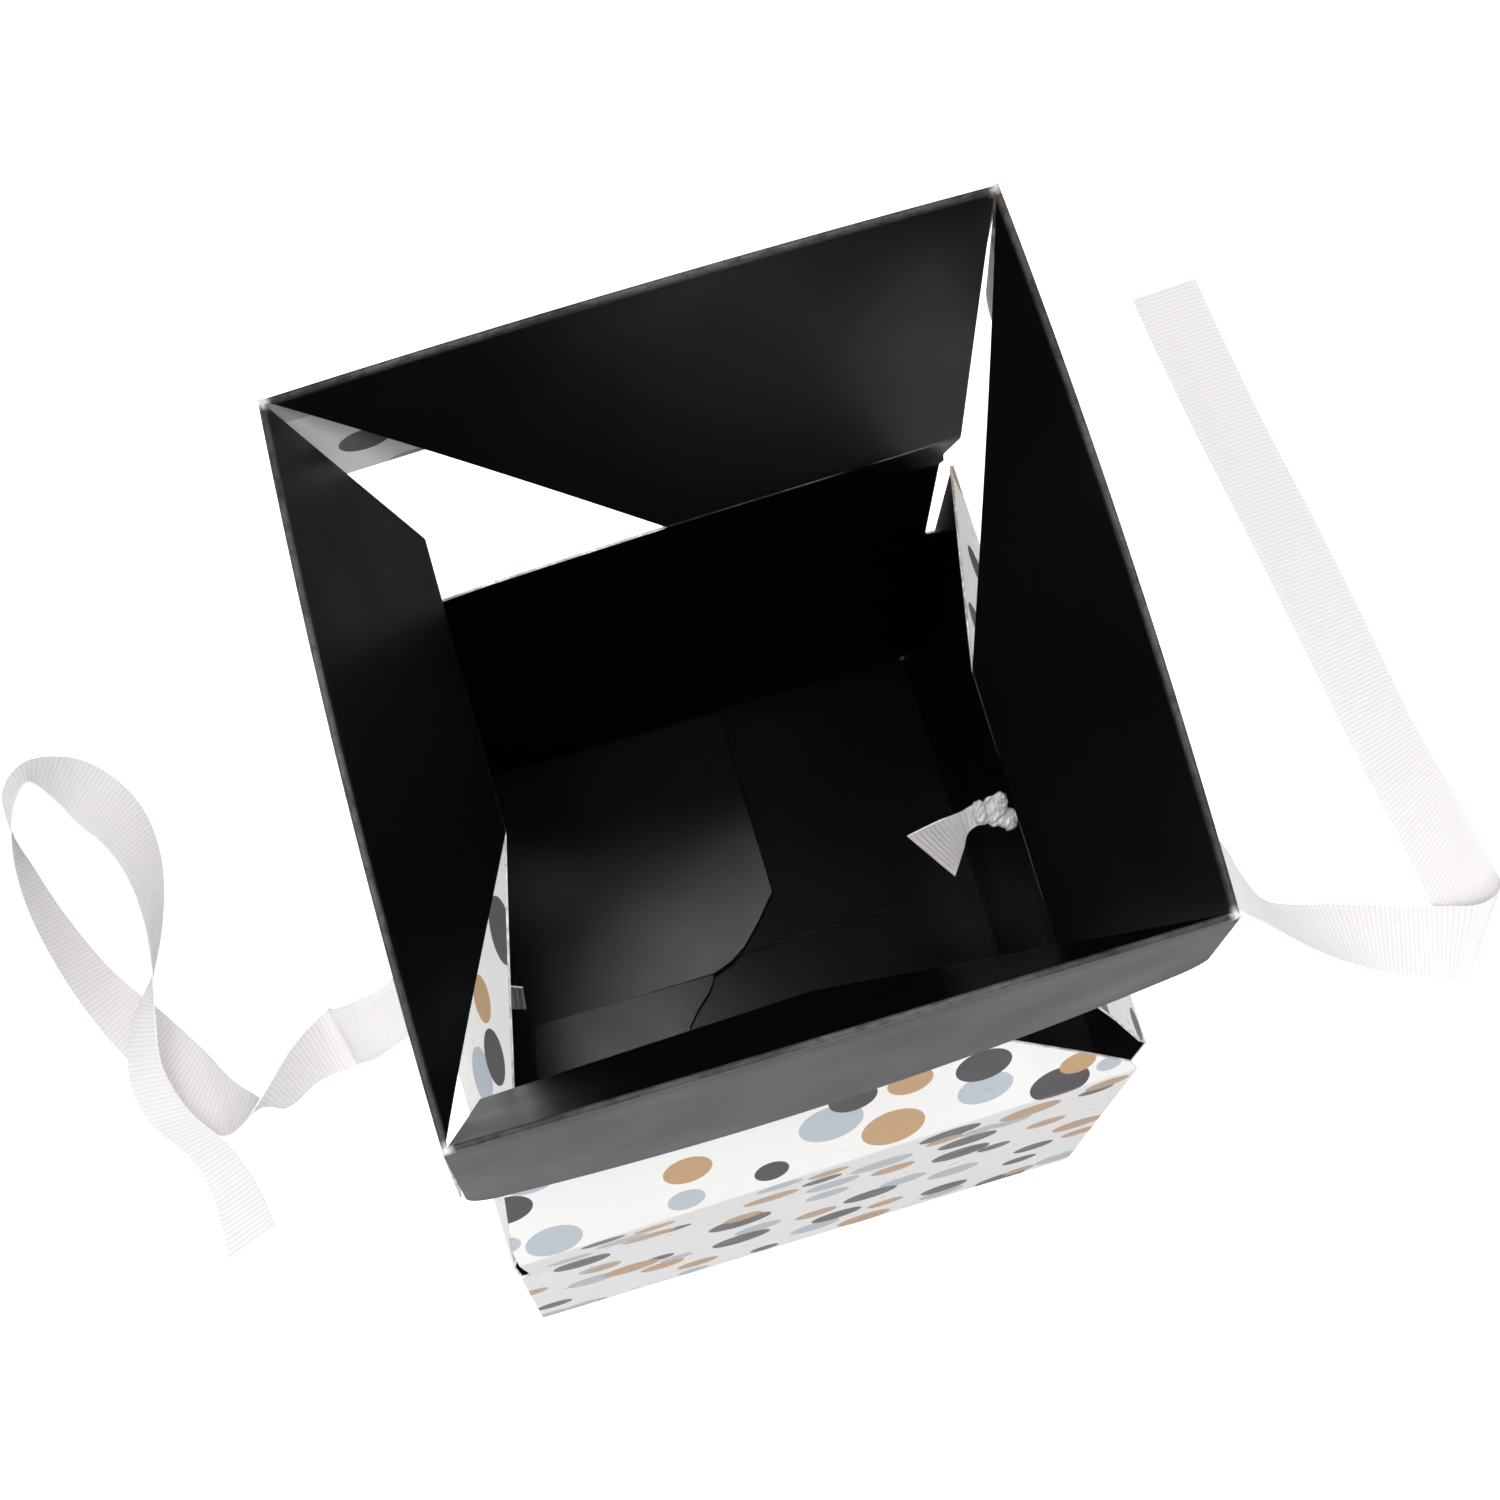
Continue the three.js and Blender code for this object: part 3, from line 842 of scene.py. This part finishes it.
# %% How far each side stands from a perfect square, in millimetres
# Along the side and outwards, first at the start of the side and then at its end
LEVELS = {"base": 0, "foot": 74, "fold": FOLD, "bend": 138, "neck": NECK, "rim": RIM, "hem": HEM}
UNEVEN = {
    "back": {
        "base": (0, -1.2, -0.3, -0.9), "foot": (0, 0, 2.3, 1.4), "fold": (0, 1.3, 3.9, 2.9),
        "bend": (-0.2, 1.7, 1.5, 2.7), "neck": (-0.5, 1.4, 1.0, 2.6),
        "rim": (0.3, -1.1, -0.1, 0.3), "hem": (0, 1.4, 0, 1.4),
    },
    "left": {
        "base": (0, -0.6, -1.2, 0), "foot": (-0.7, -0.2, 0, 0), "fold": (-3.5, -0.2, 0, 0),
        "bend": (-2.6, -1.8, 0, -1.2), "neck": (-1.8, -2.2, -0.1, -2.3),
        "rim": (0.2, -0.6, -0.5, -0.9), "hem": (0, 0.2, 0, 1),
    },
    "front": {
        "base": (1.2, 0.1, -0.6, 0), "foot": (1, 0.9, -0.2, 0.7), "fold": (0.9, 1.3, 1.3, 3.3),
        "bend": (0.9, 0.6, 1.6, 2.0), "neck": (-1.7, -0.5, 2.0, 0.8),
        "rim": (0.3, 0.3, 0, -0.8), "hem": (-1.7, -1.8, -0.2, 0.1),
    },
    "right": {
        "base": (-0.9, -0.3, 0.1, -1.2), "foot": (-1.1, 2.4, 0.9, -1), "fold": (-1.6, 3.7, -0.2, 2.3),
        "bend": (-1, 2.5, 0, 1.4), "neck": (-0.6, 1.3, 0, 0.4),
        "rim": (-1, -0.7, 0.9, -0.9), "hem": (0, 1, -1.8, 1.2),
    },
}
# How far the middle of a height bows outwards
BOWS = {
    "back": {"rim": 0.8, "hem": 1.2}, "left": {"rim": 1.3, "hem": 1.6},
    "front": {"rim": 0.2, "hem": 2.6}, "right": {"rim": 1.4, "hem": 1.6},
}
print("heights measured on each side:", len(LEVELS))

# %% How far one point of a side is moved
PAST_END = 0.02


def level_ends(side, level):
    if level == "neck":
        return NECK_START[side], NECK_END
    return -HALF, HALF


def level_shift(side, level, a):
    """How far a point at that height is moved: along the side and outwards."""
    low, high = level_ends(side, level)
    across = min(max((a - low) / (high - low), -PAST_END), 1 + PAST_END)
    along_start, out_start, along_end, out_end = UNEVEN[side][level]
    bow = BOWS[side].get(level, 0) * 4 * across * (1 - across)
    return Vector((
        along_start + (along_end - along_start) * across,
        out_start + (out_end - out_start) * across + bow,
        0,
    ))


print("middle of the front's rim moves:", level_shift("front", "rim", 0))

# %% The place of a point of the sheet on the hand-folded box
# From the fold up the box leans and twists a little: per millimetre, and in all at the rim
TOP_SHEAR = 0.0251
TOP_TWIST = 0.0094
TOP_SLIP = 0.47


def world_place(side, a, v):
    """The place of a point of the sheet on the standing box, in metres."""
    out, up = profile(v)
    turn = Matrix.Rotation(math.radians(SIDE_TURN[side]), 4, "Z")
    names = list(LEVELS)
    k = 0
    while k < len(names) - 2 and v > LEVELS[names[k + 1]]:
        k += 1
    below, above = names[k], names[k + 1]
    share = min(max((v - LEVELS[below]) / (LEVELS[above] - LEVELS[below]), 0), 1)
    shift = level_shift(side, below, a).lerp(level_shift(side, above, a), share)
    point = turn @ (Vector((a, out, up)) + shift)
    rise = min(max((v - FOLD) / (RIM - FOLD), 0), 1)
    point.x += TOP_SHEAR * rise * point.y
    point.y += TOP_TWIST * rise * point.x - TOP_SLIP * rise
    return point * MM


print("front corner of the rim:", world_place("front", HALF, RIM))

# %% [markdown]
# ## Card with a thickness and three faces
# The card is 0.45 mm thick, white outside, black inside and raw where it is cut. Two sheets
# back to back would need their edges closed by hand. Solidify closes them by itself and can
# give the inside and the edge other finishes than the outside.

# %% Standing a flat panel up
OUTSIDE, INSIDE, RAW = 0, 1, 2
SEAM_REACH = 0.05
CORNER_EDGE = 59.4
SMOOTH_ANGLE = math.radians(40)


def stand_up(piece, side, seams):
    """Gives a flat panel its print map, its place on the box, and its thickness."""
    layer = piece.data.uv_layers.get("sheet") or piece.data.uv_layers.new(name="sheet")
    for loop in piece.data.loops:
        flat = piece.data.vertices[loop.vertex_index].co
        layer.data[loop.index].uv = (flat.x * MM, flat.y * MM)
    for vertex in piece.data.vertices:
        vertex.co = world_place(side, vertex.co.x, vertex.co.y)
    for finish in (print_finish[side], black_finish, edge_finish):
        piece.data.materials.append(finish)
    edit(piece)
    bpy.ops.mesh.flip_normals()
    bpy.ops.object.mode_set(mode="OBJECT")
    finish_modifier(
        piece, "SOLIDIFY", thickness=CARD * MM, offset=-1,
        material_offset=INSIDE, material_offset_rim=RAW)
    uv = piece.data.uv_layers["sheet"].data
    for face in piece.data.polygons:
        if face.material_index != RAW:
            continue
        places = [uv[i].uv for i in face.loop_indices]
        v = sum(p.y for p in places) / len(places) / MM
        a = sum(p.x for p in places) / len(places) / MM
        if abs(v - RIM) < SEAM_REACH:
            face.material_index = INSIDE
        elif min(abs(v - seam) for seam in seams) < SEAM_REACH or (v < FOLD and abs(a) > CORNER_EDGE):
            face.material_index = OUTSIDE
    only(piece)
    bpy.ops.object.shade_smooth_by_angle(angle=SMOOTH_ANGLE)


# %% [markdown]
# ## The four sides
# One side is wall, shoulder, flare and cuff, and each turns on the one below. As one mesh it
# could not move, and as four rigid panels it would show gaps when it does. So a strip of the
# sheet along each of the two creases is its own piece, while the panels between them ride along
# stiff.

# %% Rows of faces where the sheet bends
STRIP = 4
WALL_ROWS = [82, 86, 92, 97, 101]
CREASE_STEPS = (-1, -0.6, -0.3, 0, 0.3, 0.6, 1)
BEND_ROWS = [crease + step for crease in (FOLD, NECK) for step in CREASE_STEPS]
BEND_ROWS += [RIM + ROLL_LENGTH * k / 6 for k in range(1, 7)]


def side_bands(side):
    """Name, outline, lowest and highest line, and bodies of every panel of a side."""
    shoulder, flare, cuff = "shoulder_" + side, "flare_" + side, "cuff_" + side
    lower, upper = lower_outline(side), upper_outline(side)
    return [
        ("wall", lower, 0, FOLD - STRIP, ("base",)),
        ("fold_crease", lower, FOLD - STRIP, FOLD + STRIP, ("base", shoulder)),
        ("shoulder", lower, FOLD + STRIP, NECK - STRIP, (shoulder,)),
        ("flare", upper, NECK + STRIP, RIM, (flare,)),
        ("cuff", cuff_outline(), RIM, HEM, (cuff,)),
        ("neck_crease", neck_outline(side), NECK - STRIP, NECK + STRIP, (shoulder, flare)),
    ]


print("rows at the bends:", len(BEND_ROWS))

# %% The four sides, panel by panel
for side in SIDE_TURN:
    for part, outline, low, high, bodies in side_bands(side):
        is_wall, is_cuff = part == "wall", part == "cuff"
        holes = [SLIT] if is_wall and side in WITH_SLIT else []
        rows = WALL_ROWS if is_wall else BEND_ROWS
        piece = sheet_piece(f"card_{part}_{side}", outline, low, high, holes, rows)
        stand_up(piece, side, (RIM,) if is_cuff else (0, low, high))
        if len(bodies) == 2:
            height = profile((low + high) / 2)[1] * MM
            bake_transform(piece)
        else:
            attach(piece, bodies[0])
            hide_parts(f"{part}_{side}")
        print(piece.name, "faces", len(piece.data.polygons))

# %% [markdown]
# ## Ribbons ride on the box
# On the real box the ribbons hang on their knots and lie where they fell. They could be
# simulated, but their lie is already given by the stations, so they only ride on the base.

# %% Ribbons and tails
def rest_on_base(piece, node):
    """A piece that never moves: what it rides on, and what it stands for."""
    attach(piece, "base")
    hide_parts(node)
    print(piece.name, "faces", len(piece.data.polygons))


for piece, node in (
    (ribbon_right, "ribbon_right"), (ribbon_left, "ribbon_left"),
    (tail_right, "ribbon_tail_right"), (tail_left, "ribbon_tail_left"),
):
    piece.data.materials.append(cloth_finish)
    rest_on_base(piece, node)

# %% [markdown]
# ## The knots
# Each ribbon is tied in a plain knot behind its slit. Pulled tight, it is a lump of gathered
# cloth with turns of the band around it. A simulated knot would never pull the same way
# twice, so each turn is a creased ball with the band's own weave, and four make one knot.

# %% Lumps of gathered cloth: middle and half widths in millimetres, turn in degrees, and folds
KNOT_LUMPS = [
    ("collar", (52.2, 1.1, 75.8), (1.8, 2.5, 2.8), (0, 90, 0), 7),
    ("heart", (55.2, 0.6, 75.6), (2.9, 3.1, 3.3), (20, 75, 10), 9),
    ("low_turn", (57.3, -1.6, 75), (2, 2.3, 2.5), (60, 20, 40), 7),
    ("point", (56.7, 2.2, 76.8), (1.4, 1.7, 2.3), (-25, 15, 0), 5),
]
LUMP_SEGMENTS = 96
LUMP_RINGS = 48
GATHER = 0.17
CREASE = 0.08


def cloth_lump(name, middle, half, turn, folds):
    """A ball whose surface is gathered into folds that meet at its two poles."""
    bpy.ops.object.select_all(action="DESELECT")
    bpy.ops.mesh.primitive_uv_sphere_add(segments=LUMP_SEGMENTS, ring_count=LUMP_RINGS, radius=1)
    lump = bpy.context.active_object
    lump.name = lump.data.name = name
    weave = lump.data.uv_layers[0]
    weave.name = "weave"
    for corner in weave.data:
        corner.uv = (corner.uv.x * 2 * math.pi * half[1] * MM, corner.uv.y * math.pi * half[2] * MM)
    turned = Euler([math.radians(angle) for angle in turn]).to_matrix()
    for vertex in lump.data.vertices:
        around = math.atan2(vertex.co.y, vertex.co.x)
        up = math.asin(max(-1, min(1, vertex.co.z)))
        gather = abs(math.sin(folds * around / 2 + 1.3 * math.sin(2 * up)))
        crease = abs(math.sin(5 * up + 2 * around))
        swell = 0.86 + math.cos(up) * (GATHER * gather + CREASE * crease - 0.05)
        place = turned @ (vertex.co * swell)
        vertex.co = Vector([m + p * h for m, p, h in zip(middle, place, half)]) * MM
    only(lump)
    bpy.ops.object.shade_smooth()
    return lump


print("lumps in a knot:", len(KNOT_LUMPS))

# %% Two knots: the left one is the right one turned halfway round the box
knots = {}
for side, half_turns in (("right", 0), ("left", 1)):
    lumps = [cloth_lump(*lump) for lump in KNOT_LUMPS]
    only(lumps[0])
    for lump in lumps[1:]:
        lump.select_set(True)
    bpy.ops.object.join()
    knot = bpy.context.active_object
    knot.name = knot.data.name = "knot_of_cloth_" + side
    edit(knot)
    bpy.ops.transform.rotate(value=math.pi * half_turns, orient_axis="Z", center_override=(0, 0, 0))
    bpy.ops.object.mode_set(mode="OBJECT")
    knot.data.materials.clear()
    knot.data.materials.append(cloth_finish)
    rest_on_base(knot, "knot_" + side)
    knots[side] = knot

# %% [markdown]
# ## Paths along the ribbons
# A ribbon, its knot and its tail are one length of cloth. Where the free part runs could be
# written down by hand, but the band's own middle line already says it, to the millimetre.

# %% A path along each ribbon's middle line, and its length
PATH_STEP = 8
cords = [
    (ribbon_right, right_middle, right_length, knots["right"], tail_right),
    (ribbon_left, left_middle, left_length, knots["left"], tail_left),
]
for piece, middle, length, knot, tail in cords:
    path = [tuple(point) for point in middle[::PATH_STEP]]
    print(piece.name, "free length", round(length, 3))

# %% [markdown]
# ## The bottom
# Four flaps lie over and under one another and lock with curved edges. Gravity could settle
# them in a simulation, but tucked card holds itself up where it likes. So each flap gets its
# own layer, slope and lift, and the light catches each one differently.

# %% Outlines of the bottom flaps seen from above, in millimetres, and how each one lies
FLAPS = {
    "right": [(59.5, 58.8), (10.1, 29.6), (-24.9, 20.1), (-24.9, -39.7), (29.6, -45), (58.7, -59.8)],
    "front": [
        (58.6, -59.9), (20.1, -45), (-13.9, -21.9), (-12.9, -13), (-11.6, -9.2), (-8.6, -5.8),
        (-5.8, -3.4), (-4, -1.2), (-3.2, 0.5), (-43.8, 0.8), (-59.2, -59.8),
    ],
    "back": [(-59.8, 58.5), (-36.7, 3.6), (38.2, 3.6), (59.5, 58.8)],
    "left": [
        (-59.2, -59.6), (-39.8, -10.2), (-36.6, 0.8), (-3, 0.6), (1.2, 2), (5, 4.4), (9.4, 8.7), (14.3, 14.2),
        (14.5, 56.5), (-59.8, 58.4),
    ],
}
FLAP_LAYER = {"right": 0, "front": 0.55, "back": 1.1, "left": 1.65}
LOCK = (4, 2)
LOCK_SPREAD = 24
LOCK_RISE = 0.8
FRONT_SLOPE = 0.03
LEFT_FOOT = -59
LEFT_LENGTH = 74
LEFT_RISE = 0.9
LEFT_TWIST = 0.08


def flap_height(name, x, y):
    """How high a flap lies over the ground, in millimetres."""
    away = (x - LOCK[0]) ** 2 + (y - LOCK[1]) ** 2
    height = FLAP_LAYER[name] + LOCK_RISE * math.exp(-away / (2 * LOCK_SPREAD ** 2))
    if name == "front":
        height += FRONT_SLOPE * (y + HALF)
    if name == "left":
        free = (x - LEFT_FOOT) / LEFT_LENGTH
        height += free * (LEFT_RISE + LEFT_TWIST * max(y + 5, 0)) + free ** 3
    return height


print("height of the left flap at the lock:", round(flap_height("left", *LOCK), 2))

# %% Making the flaps
FLAP_CELL = 4


def thicken_flap(flap):
    """Black on both faces, and faintly marked along the cut edges."""
    for finish in (flap_finish, flap_edge_finish):
        flap.data.materials.append(finish)
    finish_modifier(flap, "SOLIDIFY", thickness=CARD * MM, offset=-1, material_offset_rim=1)


for name, outline in FLAPS.items():
    heights = [point[1] for point in outline]
    flap = sheet_piece("card_floor_" + name, outline, min(heights), max(heights), cell=FLAP_CELL)
    for vertex in flap.data.vertices:
        x, y, _ = vertex.co
        vertex.co = Vector((x, y, CARD + flap_height(name, x, y))) * MM
    thicken_flap(flap)
    bpy.ops.object.shade_smooth_by_angle(angle=SMOOTH_ANGLE)
    rest_on_base(flap, "bottom_flap_" + name)

# %% [markdown]
# ## The glue flap
# One narrow flap of the front wall is glued inside the left wall and closes the sheet into a
# tube. A plain box would stick out through the bulging wall, so the flap is cut from the same
# grid, stood up on the left wall and moved one card's thickness inwards.

# %% The glue flap
GLUE_FLAP = [(-59.2, 3), (-45.2, 8), (-45.2, 63), (-59.2, 68)]
GLUE_GAP = 0.05
glue_flap = sheet_piece("card_glue_flap", GLUE_FLAP, 3, 68)
for vertex in glue_flap.data.vertices:
    vertex.co = world_place("left", vertex.co.x, vertex.co.y)
edit(glue_flap)
bpy.ops.mesh.flip_normals()
bpy.ops.transform.translate(value=((CARD + GLUE_GAP) * MM, 0, 0))
bpy.ops.object.mode_set(mode="OBJECT")
thicken_flap(glue_flap)
rest_on_base(glue_flap, "glue_flap")

# %% [markdown]
# ## Floor and light
# The box stands on a white sweep that melts into the background, so the floor shines evenly to
# the camera. The satin card also mirrors that sweep, brighter towards the front. A real sweep
# would have to be far larger than the box, so a plane does it: it gives off one brightness to
# the camera and another to mirrored rays.

# %% The floor
bpy.ops.object.select_all(action="DESELECT")
bpy.ops.mesh.primitive_plane_add(size=6)
floor = bpy.context.active_object
floor.name = "floor"
floor_finish = new_material("floor", (0.85, 0.85, 0.85), 0.9)
tree = floor_finish.node_tree
path = tree.nodes.new("ShaderNodeLightPath")
place = tree.nodes.new("ShaderNodeTexCoord")
x, y = split(tree, place.outputs["Object"])
forward = ramp(tree, y, 0.1, -0.25, 0.1, 1.3)
sideways = ramp(tree, x, -0.1, 0.3, 1, 0.6)
brightness = math_node(tree, "MULTIPLY", forward, sideways)
mirrored = math_node(tree, "MULTIPLY", path.outputs["Is Glossy Ray"], brightness)
shown = math_node(tree, "MULTIPLY", path.outputs["Is Camera Ray"], 0.8)
glow = math_node(tree, "ADD", shown, mirrored)
paleness = math_node(tree, "MULTIPLY_ADD", path.outputs["Is Glossy Ray"], -0.83, 0.85)
tree.nodes["Principled BSDF"].inputs["Emission Color"].default_value = (1, 0.97, 1, 1)
feed(tree, "Base Color", paleness)
feed(tree, "Emission Strength", glow)
floor.data.materials.append(floor_finish)
print("floor nodes:", len(tree.nodes))

# %% The room, which mirrored rays hardly see
world = bpy.data.worlds.new("studio")
bpy.context.scene.world = world
world.use_nodes = True
tree = world.node_tree
tree.nodes["Background"].inputs["Color"].default_value = (0.98, 0.985, 1, 1)
path = tree.nodes.new("ShaderNodeLightPath")
strength = math_node(tree, "MULTIPLY_ADD", path.outputs["Is Glossy Ray"], -0.42, 0.44)
tree.links.new(strength, tree.nodes["Background"].inputs["Strength"])
print("room:", world.name)

# %% [markdown]
# ## Lamps
# Two large soft boxes at the sides and one over the front light the box almost without
# shadows. One broad lamp above would wash out the folds. Only two small lamps at the back are
# mirrored in the satin card, where the photograph shows its sheens, and two narrow ones shine
# down into the well.

# %% Lamps
AIM = (0, 0, 0.1)


def soft_lamp(name, place, aim, size, power, mirrored=False, spread=180):
    """A soft box. Only a lamp that is meant to be mirrored shows in the satin card."""
    data = bpy.data.lights.new(name, "AREA")
    data.size = size
    data.energy = power
    data.spread = math.radians(spread)
    lamp = bpy.data.objects.new(name, data)
    lamp.location = place
    lamp.rotation_euler = (Vector(aim) - Vector(place)).to_track_quat("-Z", "Y").to_euler()
    lamp.visible_glossy = mirrored
    bpy.context.scene.collection.objects.link(lamp)


soft_lamp("left_softbox", (-1.2, -0.6, 1.2), AIM, 0.9, 7.2)
soft_lamp("right_softbox", (1.2, -0.5, 1.2), AIM, 0.9, 6.2)
soft_lamp("front_softbox", (-0.1, -0.32, 1.35), AIM, 0.6, 10)
soft_lamp("back_softbox", (-0.12, 0.22, 1.3), (0, 0, 0), 0.2, 0.9, mirrored=True)
soft_lamp("small_softbox", (-0.02, 0.12, 1.3), (0, 0, 0), 0.08, 0.45, mirrored=True)
for x in (-0.12, 0.12):
    soft_lamp("well_lamp", (x, -0.02, 0.9), (0, 0, 0.15), 0.06, 0.03, spread=16)
bpy.context.scene.view_settings.view_transform = "Standard"
print("lamps:", len(bpy.data.lights))
